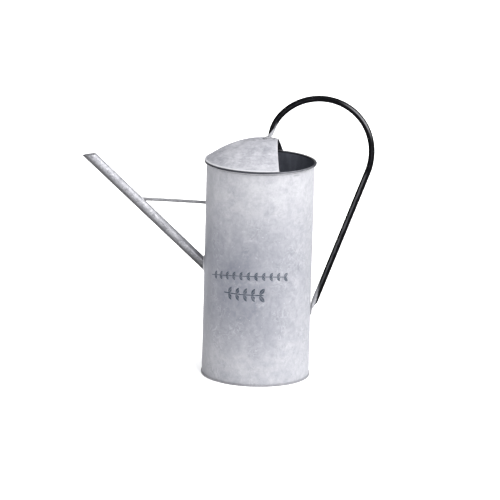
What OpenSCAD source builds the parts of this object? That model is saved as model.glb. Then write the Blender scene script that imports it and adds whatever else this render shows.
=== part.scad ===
// Tall cylindrical sheet-metal watering can: wired rim, half hood, hoop handle, straight spout with a brace.
// Millimetres. +Z is up. The origin is on the body's axis, at the plane that the can stands on.
// The spout points along -X and the handle stands on the +X side. Everything is mirror-symmetric about Y = 0.

/* [Body] */
// Outer diameter of the cylindrical body
body_d = 146; // [132:1:156]
// Height from the resting plane to the top of the rolled rim
body_h = 296.2; // [270:0.1:330]
// Thickness of the sheet that the body, base and hood are made from
sheet_t = 0.5; // [0.4:0.05:0.6]
// Width of the lock seam down the inside of the body, on the handle side
seam_w = 6; // [4:0.5:8]

/* [Rim] */
// Diameter of the steel wire inside the rolled rim
wire_d = 2.4; // [1.8:0.1:3]

/* [Base] */
// Height of the pan's floor above the resting plane
pan_recess = 4; // [3.6:0.1:8]
// Height of the folded seam round the bottom edge
base_seam_h = 3; // [2.4:0.1:3.4]

/* [Hood] */
// Rise of the pressed hood above its own edge
hood_rise = 29.3; // [22:0.1:36]
// Fullness of the hood's dome: 2 is a parabola, less is more pointed
hood_power = 1.83; // [1.6:0.01:2.4]
// Distance of the hood's free edge past the body's axis, at the rim
hood_edge_x = 26.9; // [18:0.1:34]
// Lean of the hood's free edge back towards the spout, in degrees
hood_edge_lean = 10.8; // [6:0.1:14]
// Width of the fold along the hood's free edge
hood_hem_w = 3.5; // [2.5:0.1:5]

/* [Handle] */
// Outer diameter of the handle tube
handle_d = 8; // [6.5:0.1:9]
// Wall thickness of the handle tube
handle_wall = 0.8; // [0.6:0.1:1.2]
// Radius of the handle's hoop, to the tube's centre line
loop_r = 70.5; // [66:0.1:74]
// Distance of the hoop's centre from the body's axis
loop_x = 78.5; // [76:0.1:81]
// Height of the hoop's centre above the rim
loop_up = 17.3; // [14:0.1:21]
// Lean of the handle's straight leg from the vertical, in degrees
leg_lean = 20.04; // [18:0.01:22]
// How far the straight leg stands outside the hoop's own tangent
leg_out = 1; // [0.2:0.1:1.6]
// Width of the tube where it is flattened into a foot
foot_w = 11.4; // [9.5:0.1:12.5]

/* [Spout] */
// Outer diameter of the spout tube
spout_d = 14.4; // [11:0.1:17]
// Wall thickness of the spout tube
spout_wall = 0.5; // [0.4:0.05:0.8]
// Angle of the spout above the horizontal, in degrees
spout_angle = 42.71; // [38:0.01:46]
// Height at which the spout's centre line meets the outside of the body
spout_root_z = 150.3; // [135:0.1:165]
// Distance from the body's axis to the tip of the spout
spout_reach = 241; // [215:1:255]
// Slope of the cut across the spout's tip, in degrees
tip_slope = 8.3; // [4:0.1:12]

/* [Brace] */
// Diameter of the brace rod
brace_d = 4; // [3:0.1:5]
// Height of the brace where it meets the body
brace_z = 235.7; // [226:0.1:242]
// Climb of the brace from the body to the spout, in degrees
brace_climb = 1.3; // [0:0.1:3]

/* [Hidden] */
$fn = 64;

body_r = body_d / 2;
in_r = body_r - sheet_t;
wire_r = wire_d / 2;
curl_r = wire_r + sheet_t;
curl_x = in_r + curl_r;
curl_z = body_h - curl_r;
floor_z = pan_recess + sheet_t;

// The hood's dome: height of its outer surface at a distance r from the axis.
hood_r = curl_x - 0.2;
hood_base = body_h + 1.5;
function dome_z(r) = hood_base + hood_rise * (1 - pow(r / hood_r, hood_power));
function dome_slope(r) = -hood_rise * hood_power / hood_r * pow(r / hood_r, hood_power - 1);
// A point at depth d under the outer surface, square to it.
function dome_pt(r, d) = let (s = dome_slope(r), k = sqrt(1 + s * s)) [max(0, r + d * s / k), dome_z(r) - d / k];
function dome_line(d, r_max, n) = [for (i = [0 : n]) let (r = r_max * i / n) i == 0 ? [0, dome_z(0) - d] : dome_pt(r, d)];

// The handle's centre line: a hoop in the XZ plane that runs into a straight leg.
loop_z = body_h + loop_up;
// Below ease_from degrees the hoop opens out onto a slightly larger radius, which brings it to the leg.
ease_from = 15;
ease_r = loop_r + leg_out / (1 - cos(ease_from + leg_lean));
ease_c = [loop_x - (ease_r - loop_r) * cos(ease_from), loop_z - (ease_r - loop_r) * sin(ease_from)];
leg_top = [ease_c[0] + ease_r * cos(leg_lean), ease_c[1] - ease_r * sin(leg_lean)];
leg_dir = [-sin(leg_lean), -cos(leg_lean)];
hr = handle_d / 2;
// Where the leg's centre line would reach the wall.
leg_hit = (leg_top[0] - body_r) / sin(leg_lean);
foot_z = leg_top[1] + leg_dir[1] * leg_hit;
function leg_pt(back) = leg_top + leg_dir * (leg_hit - back);
function hoop_pt(a) = [loop_x + loop_r * cos(a), loop_z + loop_r * sin(a)];
// The hoop's angle at which its centre line is h above the dome, by bisection.
function hoop_stop(h, a = 140, b = 179, n = 24) = n == 0 ? a :
    let (m = (a + b) / 2, p = hoop_pt(m)) p[1] - dome_z(abs(p[0])) > h ? hoop_stop(h, m, b, n - 1) : hoop_stop(h, a, m, n - 1);
hoop_end = hoop_stop(12);
hoop_low = hoop_stop(2.2);

// The spout's centre line.
sx = cos(spout_angle);
sz = sin(spout_angle);
spout_r = spout_d / 2;
function spout_at(s) = [-body_r - s * sx, 0, spout_root_z + s * sz];
// Distance along the spout at which its lowest line reaches the tip.
spout_len = (spout_reach - body_r - spout_r * sz) / sx;

// ---------- shared shapes ----------

// A ring of square section, between two radii and two heights.
module ring(r0, r1, z0, z1) {
    rotate_extrude($fn = 96) translate([r0, z0]) square([r1 - r0, z1 - z0]);
}

// A solid as round as the outside of the body, for trimming what meets it.
module body_plug(r) {
    translate([0, 0, -20]) cylinder(r = r, h = 20 + body_h - curl_r, $fn = 360);
}

// A straight cylinder along the spout's axis, from s0 to s1 past the wall.
module along_spout(r, s0, s1) {
    translate(spout_at(s0)) rotate([0, -90 + spout_angle, 0]) cylinder(r = r, h = s1 - s0);
}

// The half-space on the spout side of the hood's free edge, moved back by d.
module hood_side(d = 0) {
    translate([hood_edge_x, 0, hood_base]) rotate([0, -hood_edge_lean, 0])
        translate([-220 - d, -120, -60]) cube([220, 240, 160]);
}

// The space under the dome's outer surface, down to below the rim.
module dome_plug() {
    rotate_extrude($fn = 96) polygon(concat([[0, body_h - 20]], dome_line(0, hood_r, 24), [[hood_r, body_h - 20]]));
}

// A thin slice across a flattened tube, centred at [x, z] and tipped by tilt from level.
module slice(p, tilt, thick, wide) {
    translate([p[0], 0, p[1]]) rotate([0, tilt, 0]) linear_extrude(height = 0.2)
        polygon([for (i = [0 : 31]) let (a = i * 360 / 32, c = cos(a), s = sin(a))
            [thick / 2 * sign(c) * pow(abs(c), 0.8), wide / 2 * sign(s) * pow(abs(s), 0.8)]]);
}

// A bead of solder with round ends, between two points.
module bead(a, b, r) {
    v = b - a;
    len = norm(v);
    translate(a) rotate([0, acos(v[2] / len), atan2(v[1], v[0])]) {
        cylinder(r = r, h = len, $fn = 24);
        sphere(r = r, $fn = 24);
        translate([0, 0, len]) sphere(r = r, $fn = 24);
    }
}

// ---------- body ----------

// Rolled sheet cylinder: curled over the wire at the top, folded out at the bottom, with a lock seam inside.
module body_shell() {
    color("#c9c9d1") difference() {
        union() {
            ring(in_r, body_r, sheet_t, curl_z);
            // curl over the rim wire, open towards the wall underneath
            rotate_extrude($fn = 96) difference() {
                translate([curl_x, curl_z]) circle(r = curl_r, $fn = 48);
                translate([curl_x, curl_z]) circle(r = wire_r, $fn = 48);
                translate([curl_x, curl_z]) polygon([[0, 0], [-2 * curl_r, 0], [-2 * curl_r, -3 * curl_r], [-0.9 * curl_r, -3 * curl_r]]);
            }
            // hook of the bottom fold
            ring(in_r, body_r + sheet_t, sheet_t, 2 * sheet_t);
            ring(body_r, body_r + sheet_t, sheet_t, base_seam_h - 0.2);
            // lock seam on the inside
            intersection() {
                ring(in_r - 2 * sheet_t, in_r + 0.1, floor_z + 0.5, curl_z - curl_r - 2);
                translate([0, -seam_w / 2, 0]) cube([body_r + 5, seam_w, body_h]);
            }
        }
        along_spout(spout_r + 0.05, -20, 20);
    }
}

// Steel wire that the rim is rolled round.
module rim_wire() {
    color("#8d8f94") translate([0, 0, curl_z]) rotate_extrude($fn = 96) translate([curl_x, 0]) circle(r = wire_r - 0.02, $fn = 32);
}

// Recessed bottom, folded round the body's lower edge.
module base_pan() {
    color("#a9a9b0") union() {
        translate([0, 0, pan_recess]) cylinder(r = in_r, h = sheet_t, $fn = 96);
        ring(in_r - sheet_t, in_r, 0, floor_z);
        ring(in_r - sheet_t, body_r + 2 * sheet_t, 0, sheet_t);
        ring(body_r + sheet_t, body_r + 2 * sheet_t, 0, base_seam_h);
    }
}

// ---------- hood ----------

// Pressed half dome with a folded flange that sits on the rim, and a fold along its free edge.
module hood() {
    color("#d2d2da") {
        intersection() {
            rotate_extrude($fn = 96) polygon(concat(
                dome_line(0, hood_r, 24),
                [[hood_r + 1.3, hood_base - 0.4], [hood_r + 1.6, hood_base - 0.8], [hood_r + 1.6, body_h],
                 [hood_r - 0.8, body_h], [hood_r - 0.8, hood_base - sheet_t]],
                [for (i = [23 : -1 : 0]) dome_line(sheet_t, hood_r, 24)[i]]));
            hood_side();
        }
        difference() {
            intersection() {
                rotate_extrude($fn = 96) polygon(concat(
                    dome_line(0.9 * sheet_t, hood_r - 2, 24),
                    [for (i = [24 : -1 : 0]) dome_line(2 * sheet_t, hood_r - 2, 24)[i]]));
                hood_side();
            }
            hood_side(hood_hem_w);
        }
    }
}

// Solder run in the corner between the hood's flange and the rolled rim, on the inside.
module hood_solder() {
    // the slope of its section is tangent to the rolled edge, a hundredth of a millimetre clear of it
    q = curl_r + 0.01;
    a = 139;
    rise = (curl_r - q * sin(a)) / sin(a - 90);
    top_x = curl_x + q * cos(a) + rise * cos(a - 90);
    low = 0.45;
    color("#b4b4ba") intersection() {
        rotate_extrude($fn = 96) polygon([
            [top_x, body_h],
            [curl_x + q * cos(a) - low * cos(a - 90), body_h - curl_r + q * sin(a) - low * sin(a - 90)],
            [curl_x + q * cos(a) - low * cos(a - 90), body_h]]);
        hood_side(1);
    }
}

// ---------- handle ----------

// One bent tube: a hoop from the hood and a straight leg down to the wall, with both ends flattened into feet.
module handle_tube() {
    top = hoop_pt(hoop_end);
    low = hoop_pt(hoop_low);
    mid = hoop_pt((hoop_end + hoop_low) / 2);
    lie = atan(dome_slope(abs(low[0])));
    color("#1b1c1f") difference() {
        union() {
            // hoop
            translate([loop_x, 0, loop_z]) rotate([90, 0, 0]) rotate([0, 0, ease_from])
                rotate_extrude(angle = hoop_end - ease_from, $fn = 120) translate([loop_r, 0]) difference() {
                    circle(r = hr, $fn = 40);
                    circle(r = hr - handle_wall, $fn = 40);
                }
            // its easier lower part, drawn a hair thinner so that it starts inside the end of the hoop's wall
            translate([ease_c[0], 0, ease_c[1]]) rotate([90, 0, 0]) rotate([0, 0, -leg_lean])
                rotate_extrude(angle = ease_from + leg_lean + 0.6, $fn = 120) translate([ease_r, 0]) difference() {
                    circle(r = hr - 0.02, $fn = 40);
                    circle(r = hr - handle_wall + 0.02, $fn = 40);
                }
            // straight leg, thinner again by a hair
            translate([leg_top[0], 0, leg_top[1]]) rotate([0, 180 + leg_lean, 0]) difference() {
                translate([0, 0, -0.6]) cylinder(r = hr - 0.04, h = leg_hit - 15.4, $fn = 40);
                translate([0, 0, -1]) cylinder(r = hr - handle_wall + 0.04, h = leg_hit, $fn = 40);
            }
            // top foot: the tube pinches flat, then turns to lie along the hood
            hull() {
                slice(top, 90 - hoop_end, handle_d, handle_d);
                slice(mid, 90 - hoop_end, handle_d * 0.8, (handle_d + foot_w) / 2);
            }
            hull() {
                slice(mid, 90 - hoop_end, handle_d * 0.8, (handle_d + foot_w) / 2);
                slice([low[0] + 1.1, low[1] + 0.3], 90 - hoop_end, handle_d * 0.52, foot_w);
            }
            hull() {
                slice([low[0] + 1.1, low[1] + 0.3], 90 - hoop_end, handle_d * 0.52, foot_w);
                slice([low[0] - 7, dome_z(abs(low[0] - 7)) + 0.3], 90, 1.6, foot_w * 0.8);
                slice([low[0] - 1, dome_z(abs(low[0] - 1)) + 0.4], 90, 2.6, foot_w);
            }
            // lower foot: the same, turned to lie down the wall
            hull() {
                slice(leg_pt(16), leg_lean, handle_d, handle_d);
                slice([body_r + 3.9, foot_z + 11.8], leg_lean, handle_d * 0.92, (handle_d + foot_w) / 2);
            }
            hull() {
                slice([body_r + 3.9, foot_z + 11.8], leg_lean, handle_d * 0.92, (handle_d + foot_w) / 2);
                slice([body_r + 1.6, foot_z + 5.2], leg_lean * 0.9, handle_d * 0.42, foot_w);
            }
            hull() {
                slice([body_r + 1.6, foot_z + 5.2], leg_lean * 0.9, handle_d * 0.42, foot_w);
                slice([body_r + 0.7, foot_z + 0.4], leg_lean * 0.3, 2, foot_w);
            }
            hull() {
                slice([body_r + 0.7, foot_z + 0.4], leg_lean * 0.3, 2, foot_w);
                slice([body_r + 0.5, foot_z - 4.8], 0, 1.9, foot_w * 0.8);
            }
        }
        body_plug(body_r);
        dome_plug();
    }
}

// Two beads of solder along the sides of the foot on the hood.
module handle_top_solder() {
    low = hoop_pt(hoop_low);
    color("#c4c4c8") difference() {
        for (s = [-1, 1])
            bead([low[0] - 5, s * (foot_w / 2 + 0.9), dome_z(norm([low[0] - 5, foot_w / 2])) + 0.1],
                 [low[0] + 2, s * (foot_w / 2 + 0.9), dome_z(norm([low[0] + 2, foot_w / 2])) + 0.1], 0.85);
        dome_plug();
    }
}

// Two beads of solder along the sides of the foot on the wall.
module handle_foot_solder() {
    x = sqrt(body_r * body_r - pow(foot_w / 2 + 0.9, 2)) + 0.15;
    color("#c4c4c8") difference() {
        for (s = [-1, 1])
            bead([x, s * (foot_w / 2 + 0.9), foot_z - 4.5], [x, s * (foot_w / 2 + 0.9), foot_z + 4.5], 0.85);
        body_plug(body_r);
    }
}

// ---------- spout ----------

// Straight tube from inside the wall to a tip that is cut nearly level.
module spout_tube() {
    tip = spout_at(spout_len) - spout_r * [sz, 0, sx];
    color("#b9bac0") difference() {
        along_spout(spout_r, -25, spout_len + 20);
        along_spout(spout_r - spout_wall, -26, spout_len + 21);
        body_plug(in_r - 1.2);
        translate(tip) rotate([0, -tip_slope, 0]) translate([-40, -20, 0]) cube([100, 40, 60]);
    }
}

// Solder fillet round the spout where it leaves the wall.
module spout_solder() {
    color("#adadb4") difference() {
        union() {
            intersection() { along_spout(spout_r + 2.2, -14, 14); body_plug(body_r + 0.7); }
            intersection() { along_spout(spout_r + 1.1, -14, 14); body_plug(body_r + 1.8); }
        }
        along_spout(spout_r, -30, 30);
        body_plug(body_r);
    }
}

// ---------- brace ----------

// Where the brace's axis meets the spout's upper side.
brace_s = (brace_z - spout_root_z) / (sz - sx * tan(brace_climb));
brace_end = spout_at(brace_s);

// Round rod between the body and the upper side of the spout.
module brace_rod() {
    color("#a2a3a8") difference() {
        translate([-body_r + 4, 0, brace_z - 4 * tan(brace_climb)]) rotate([0, -90 + brace_climb, 0])
            cylinder(r = brace_d / 2, h = (-body_r - brace_end[0] + 4) / cos(brace_climb), $fn = 32);
        body_plug(body_r);
        along_spout(spout_r, 20, spout_len);
    }
}

// Drop of solder round the brace at the spout.
module brace_spout_solder() {
    x = brace_end[0] + spout_r / sz;
    color("#8a8b90") difference() {
        translate([x, 0, brace_z + (-body_r - x) * tan(brace_climb)]) sphere(r = brace_d * 0.8, $fn = 32);
        along_spout(spout_r, 20, spout_len);
        translate([-body_r + 4, 0, brace_z - 4 * tan(brace_climb)]) rotate([0, -90 + brace_climb, 0])
            cylinder(r = brace_d / 2, h = spout_reach, $fn = 32);
    }
}

// Drop of solder round the brace at the body.
module brace_body_solder() {
    color("#9c9da2") difference() {
        translate([-body_r, 0, brace_z]) sphere(r = brace_d * 0.8, $fn = 32);
        body_plug(body_r);
        translate([-body_r + 4, 0, brace_z - 4 * tan(brace_climb)]) rotate([0, -90 + brace_climb, 0])
            cylinder(r = brace_d / 2, h = spout_reach, $fn = 32);
    }
}

body_shell();
rim_wire();
base_pan();
hood();
hood_solder();
handle_tube();
handle_top_solder();
handle_foot_solder();
spout_tube();
spout_solder();
brace_rod();
brace_spout_solder();
brace_body_solder();
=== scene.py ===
import bpy, bmesh, math
from mathutils import Vector, Matrix, noise


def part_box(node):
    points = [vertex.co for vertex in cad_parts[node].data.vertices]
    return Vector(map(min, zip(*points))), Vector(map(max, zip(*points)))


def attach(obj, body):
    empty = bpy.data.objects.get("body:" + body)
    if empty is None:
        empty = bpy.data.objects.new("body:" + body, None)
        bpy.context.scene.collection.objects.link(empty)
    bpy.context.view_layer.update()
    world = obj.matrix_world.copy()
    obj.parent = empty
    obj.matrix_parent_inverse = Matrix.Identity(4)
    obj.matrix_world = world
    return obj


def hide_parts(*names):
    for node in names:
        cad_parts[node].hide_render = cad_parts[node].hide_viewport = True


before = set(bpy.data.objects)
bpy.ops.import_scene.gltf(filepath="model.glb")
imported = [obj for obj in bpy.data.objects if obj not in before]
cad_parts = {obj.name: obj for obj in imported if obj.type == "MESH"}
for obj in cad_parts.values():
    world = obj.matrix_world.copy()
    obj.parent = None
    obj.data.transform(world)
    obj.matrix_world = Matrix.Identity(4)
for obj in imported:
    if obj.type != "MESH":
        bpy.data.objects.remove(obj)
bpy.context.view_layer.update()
MM = 0.001
pi, sin, cos, tan, sqrt = math.pi, math.sin, math.cos, math.tan, math.sqrt
rad = math.radians

# ------------------------------------------------------------------ sizes, in mm, from the frame
BODY_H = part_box("body_shell")[1].z / MM          # top of the rolled rim
RIM_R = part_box("body_shell")[1].y / MM           # outside of the rolled rim
BASE_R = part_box("base_pan")[1].y / MM            # outside of the bottom fold
WALL_T = 0.5
BODY_R = BASE_R - 2 * WALL_T
IN_R = BODY_R - WALL_T
CURL_R = (RIM_R - IN_R) / 2
CURL_X = IN_R + CURL_R
CURL_Z = BODY_H - CURL_R
SEAM_H = 3.0
HOOD_R = CURL_X - 0.2
HOOD_BASE = BODY_H + 1.5
HOOD_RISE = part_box("hood")[1].z / MM - HOOD_BASE
HOOD_P = 1.83
EDGE_X, EDGE_TAN = 26.9, tan(rad(10.8))
HOOP_X, HOOP_Z, HOOP_R = 78.5, BODY_H + 17.3, 70.5
LEAN = rad(20.04)
EASE_A = rad(15.0)                               # below this the hoop opens out to meet the leg
EASE_R = HOOP_R + 1.0 / (1 - cos(EASE_A + LEAN))
EASE_X, EASE_Z = HOOP_X - (EASE_R - HOOP_R) * cos(EASE_A), HOOP_Z - (EASE_R - HOOP_R) * sin(EASE_A)
SP_A = rad(42.71)
SP_Z = 150.3
SPOUT_MID_R = 7.2
BR_Z, BR_CLIMB, BR_R = 235.7, rad(1.3), 2.0
TIP_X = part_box("spout_tube")[0].x / MM


# ------------------------------------------------------------------ mesh helpers
def nz(x, y, z, s=1.0, o=0.0):
    """Smooth noise, about -1 to 1, of a point in mm."""
    return noise.noise(Vector((x * s + o, y * s - o * 0.7, z * s + o * 1.3)))


def make(name, verts, faces, mats, face_mat=None, sharp=40, merge=1e-6):
    """A mesh object from points in mm."""
    me = bpy.data.meshes.new(name)
    me.from_pydata([(x * MM, y * MM, z * MM) for x, y, z in verts], [], faces)
    for m in mats:
        me.materials.append(m)
    if face_mat:
        for p, k in zip(me.polygons, face_mat):
            p.material_index = k
    bm = bmesh.new()
    bm.from_mesh(me)
    bmesh.ops.remove_doubles(bm, verts=bm.verts, dist=merge)
    bmesh.ops.dissolve_degenerate(bm, edges=bm.edges, dist=1e-8)
    bmesh.ops.recalc_face_normals(bm, faces=bm.faces)
    bm.to_mesh(me)
    bm.free()
    finish_mesh(me, sharp)
    o = bpy.data.objects.new(name, me)
    bpy.context.scene.collection.objects.link(o)
    return o


def finish_mesh(me, sharp):
    for p in me.polygons:
        p.use_smooth = True
    if sharp:
        me.set_sharp_from_angle(angle=rad(sharp))


def grid(rows, close_u=False, close_v=False, mat=None):
    """Quads over rows of points: rows run along u, each row along v."""
    nu, nv = len(rows), len(rows[0])
    verts = [p for r in rows for p in r]
    faces, mats = [], []
    for i in range(nu if close_u else nu - 1):
        for j in range(nv if close_v else nv - 1):
            a, b = i * nv + j, i * nv + (j + 1) % nv
            c, d = ((i + 1) % nu) * nv + (j + 1) % nv, ((i + 1) % nu) * nv + j
            faces.append((a, b, c, d))
            mats.append(mat(i, j) if mat else 0)
    return verts, faces, mats


def lathe(profile, n=256, closed=True, move=None, mat=None):
    """A profile of (r, z) turned round the Z axis; move(r, z, theta) may shift the radius."""
    rows = []
    for r, z in profile:
        row = []
        for k in range(n):
            t = 2 * pi * k / n
            rr = r + (move(r, z, t) if move else 0)
            row.append((rr * cos(t), rr * sin(t), z))
        rows.append(row)
    return grid(rows, close_u=closed, close_v=True, mat=mat)


def apply_modifiers(o):
    dg = bpy.context.evaluated_depsgraph_get()
    me = bpy.data.meshes.new_from_object(o.evaluated_get(dg), depsgraph=dg)
    o.modifiers.clear()
    o.data = me


def piece(o, slot, *nodes):
    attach(o, "root")
    if nodes:
        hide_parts(*nodes)
    return o


# ------------------------------------------------------------------ materials
class Mat:
    """A small builder for node materials. Textures use object coordinates, in mm."""

    gain = 0.73      # every colour is this much darker than written, which suits the bright stage

    def __init__(self, name):
        self.m = bpy.data.materials.new(name)
        self.m.use_nodes = True
        self.t = self.m.node_tree
        self.n, self.l = self.t.nodes, self.t.links
        self.n.clear()
        self.out = self.n.new("ShaderNodeOutputMaterial")
        self.bsdf = self.n.new("ShaderNodeBsdfPrincipled")
        self.l.new(self.bsdf.outputs[0], self.out.inputs[0])
        tc = self.n.new("ShaderNodeTexCoord")
        vm = self.n.new("ShaderNodeVectorMath")
        vm.operation = "SCALE"
        vm.inputs["Scale"].default_value = 1000.0
        self.l.new(tc.outputs["Object"], vm.inputs[0])
        self.co = vm.outputs[0]
        sp = self.n.new("ShaderNodeSeparateXYZ")
        self.l.new(self.co, sp.inputs[0])
        self.x, self.y, self.z = sp.outputs

    def put(self, socket, v):
        if isinstance(v, bpy.types.NodeSocket):
            self.l.new(v, socket)
        elif isinstance(v, (tuple, list)) and len(v) == 3 and len(getattr(socket, "default_value", (0, 0, 0))) == 4:
            socket.default_value = (*v, 1)
        else:
            socket.default_value = v

    def math(self, op, a, b=0.0, c=None, clamp=False):
        n = self.n.new("ShaderNodeMath")
        n.operation, n.use_clamp = op, clamp
        self.put(n.inputs[0], a)
        self.put(n.inputs[1], b)
        if c is not None:
            self.put(n.inputs[2], c)
        return n.outputs[0]

    def add(self, a, b): return self.math("ADD", a, b)
    def sub(self, a, b): return self.math("SUBTRACT", a, b)
    def mul(self, a, b): return self.math("MULTIPLY", a, b)
    def inv(self, a): return self.math("SUBTRACT", 1.0, a)
    def mx(self, a, b): return self.math("MAXIMUM", a, b)
    def mn(self, a, b): return self.math("MINIMUM", a, b)

    def rng(self, v, a, b, c=0.0, d=1.0, smooth=True):
        n = self.n.new("ShaderNodeMapRange")
        n.interpolation_type = "SMOOTHSTEP" if smooth else "LINEAR"
        n.clamp = True
        self.put(n.inputs["Value"], v)
        for k, w in zip(("From Min", "From Max", "To Min", "To Max"), (a, b, c, d)):
            self.put(n.inputs[k], w)
        return n.outputs[0]

    def stretch(self, sx, sy, sz, off=(0, 0, 0)):
        n = self.n.new("ShaderNodeMapping")
        self.l.new(self.co, n.inputs["Vector"])
        n.inputs["Scale"].default_value = (sx, sy, sz)
        n.inputs["Location"].default_value = off
        return n.outputs[0]

    def noise(self, size, detail=3.0, rough=0.55, dist=0.0, co=None):
        """Noise with features about size mm across, 0 to 1."""
        n = self.n.new("ShaderNodeTexNoise")
        n.noise_dimensions = "3D"
        self.l.new(co or self.co, n.inputs["Vector"])
        n.inputs["Scale"].default_value = 1.0 / size
        n.inputs["Detail"].default_value = detail
        n.inputs["Roughness"].default_value = rough
        n.inputs["Distortion"].default_value = dist
        return n.outputs[0]

    def voronoi(self, size, feature="F1", co=None, rand=1.0):
        n = self.n.new("ShaderNodeTexVoronoi")
        n.feature = feature
        self.l.new(co or self.co, n.inputs["Vector"])
        n.inputs["Scale"].default_value = 1.0 / size
        n.inputs["Randomness"].default_value = rand
        return n.outputs[0]

    def mix(self, f, a, b):
        n = self.n.new("ShaderNodeMix")
        n.data_type = "RGBA"
        self.put(n.inputs[0], f)
        self.put(n.inputs[6], tuple(v * self.gain for v in a) if isinstance(a, tuple) else a)
        self.put(n.inputs[7], tuple(v * self.gain for v in b) if isinstance(b, tuple) else b)
        return n.outputs[2]

    def mixf(self, f, a, b):
        n = self.n.new("ShaderNodeMix")
        n.data_type = "FLOAT"
        self.put(n.inputs[0], f)
        self.put(n.inputs[2], a)
        self.put(n.inputs[3], b)
        return n.outputs[0]

    def tint(self, col, f):
        """A colour times a number."""
        n = self.n.new("ShaderNodeVectorMath")
        n.operation = "SCALE"
        self.put(n.inputs[0], col)
        self.put(n.inputs["Scale"], f)
        return n.outputs[0]

    def bump(self, h, dist_mm, strength=1.0, under=None):
        n = self.n.new("ShaderNodeBump")
        n.inputs["Strength"].default_value = strength
        n.inputs["Distance"].default_value = dist_mm * MM
        self.put(n.inputs["Height"], h)
        if under is not None:
            self.l.new(under, n.inputs["Normal"])
        return n.outputs[0]

    def set(self, **kw):
        names = dict(color="Base Color", rough="Roughness", metal="Metallic", normal="Normal", spec="Specular IOR Level",
                     coat="Coat Weight", coat_rough="Coat Roughness", ior="IOR")
        for k, v in kw.items():
            self.put(self.bsdf.inputs[names[k]], v)
        return self.m


def whitewash(name, band=0.0, top=(0.43, 0.43, 0.452), low=(0.215, 0.222, 0.255), amount=0.0, banding=False):
    """Zinc rubbed over with white: clouds, blotches, brush marks, fine speckle and small scratches."""
    m = Mat(name)
    clouds = m.noise(56, 3, 0.55, 0.8, m.stretch(1, 1, 0.8))
    patches = m.noise(18, 5, 0.62, 1.0, m.stretch(1, 1, 0.9, (40, 3, 9)))
    blotch = m.noise(7.0, 4, 0.66, 0.7, m.stretch(1, 1, 1, (11, 60, 5)))
    brush = m.noise(6, 4, 0.7, 0.4, m.stretch(1.5, 1.5, 0.45, (3, 80, 5)))
    speck = m.noise(2.2, 4, 0.78, 0.2)
    grain = m.noise(0.55, 2, 0.6)
    bare = m.add(m.mul(m.sub(clouds, 0.5), 1.00), m.mul(m.sub(patches, 0.5), 1.20))
    bare = m.add(bare, m.mul(m.sub(blotch, 0.5), 1.35))
    bare = m.add(bare, m.mul(m.sub(brush, 0.5), 0.35))
    bare = m.add(bare, m.mul(m.sub(speck, 0.5), 0.80))
    bare = m.add(bare, amount)
    if band:
        # less bare zinc high on the wall away from the spout, and a little more just above the fold
        high = m.mul(m.rng(m.z, 215, 255, 0.0, -0.19), m.rng(m.x, -48, 2))
        bare = m.add(bare, m.add(high, m.rng(m.z, 34, 8, 0.0, 0.14)))
    if banding:
        lines = m.noise(4.0, 3, 0.62, 0.3, m.stretch(0.16, 0.16, 1.9))
        bare = m.add(bare, m.mul(m.sub(lines, 0.5), 1.25))
        bare = m.add(bare, m.mul(m.sub(m.noise(3.2, 4, 0.7, 0.8, m.stretch(1, 1, 1, (2, 9, 6))), 0.5), 0.85))
    bare = m.rng(bare, -0.55, 1.05, 0.0, 1.0, smooth=False)
    col = m.mix(bare, top, low)
    if band:
        # a darker, bluer cloud round the middle of the can, heaviest towards the spout
        shape = m.mul(m.rng(m.z, 8, 108), m.rng(m.z, 270, 162))
        depth = m.mul(shape, m.rng(m.x, -20, 75, band, band * 0.42))
        depth = m.mul(depth, m.add(0.55, m.add(m.mul(patches, 0.50), m.mul(clouds, 0.40))))
        depth = m.mx(m.add(depth, m.mul(shape, m.mul(m.sub(blotch, 0.5), 0.25))), 0.0)
        col = m.mix(depth, col, (0.118, 0.126, 0.160))
        bare = m.mn(m.add(bare, m.mul(depth, 0.3)), 1.0)
    # flecks of thicker white, and dark pin marks
    fleck = m.rng(m.voronoi(4.6, co=m.stretch(1, 1, 0.8)), 0.20, 0.06)
    fleck = m.mul(fleck, m.rng(m.noise(14, 2, 0.5), 0.48, 0.60))
    col = m.mix(m.mul(fleck, 0.42), col, (0.52, 0.52, 0.545))
    pin = m.rng(m.voronoi(6.5, co=m.stretch(1, 1, 0.9, (9, 4, 2))), 0.13, 0.05)
    pin = m.mul(pin, m.rng(m.noise(20, 2, 0.5, 0, m.stretch(1, 1, 1, (7, 7, 7))), 0.50, 0.60))
    col = m.mix(m.mul(pin, 0.42), col, (0.12, 0.125, 0.145))
    # curled marks where the white dried unevenly
    where = m.rng(m.noise(24, 2, 0.5, 0, m.stretch(1, 1, 1, (13, 2, 21))), 0.46, 0.64)
    where = m.mul(where, m.rng(m.z, 262, 205, 0.40, 1.0))
    for off, tone, much in (((4, 8, 1), (0.13, 0.136, 0.160), 0.22), ((31, 5, 17), (0.52, 0.52, 0.545), 0.26), ((7, 44, 9), (0.15, 0.156, 0.182), 0.17)):
        ridge = m.math("ABSOLUTE", m.sub(m.noise(14.0, 2, 0.5, 1.4, m.stretch(1, 1, 0.9, off)), 0.5))
        curl = m.mul(m.mul(m.rng(ridge, 0.042, 0.010), where), m.rng(speck, 0.30, 0.56, 0.35, 1.0))
        col = m.mix(m.mul(curl, much), col, tone)
    # fine scratches
    s = m.noise(1.1, 2, 0.5, 0, m.stretch(6, 6, 0.10, (1, 5, 2)))
    s = m.mul(m.rng(s, 0.70, 0.80), m.rng(m.noise(26, 2, 0.5), 0.52, 0.66))
    col = m.mix(m.mul(s, 0.20), col, (0.18, 0.185, 0.205))
    rough = m.mixf(bare, 0.66, 0.50)
    height = m.add(m.mul(blotch, 0.7), m.add(m.mul(speck, 0.6), m.mul(grain, 0.2)))
    nrm = m.bump(height, 0.15, 0.5)
    nrm = m.bump(patches, 0.45, 0.3, nrm)
    m.paint, m.bare = col, bare
    m.set(color=col, rough=rough, metal=m.mul(bare, 0.22), normal=nrm, spec=0.22)
    return m


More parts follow.
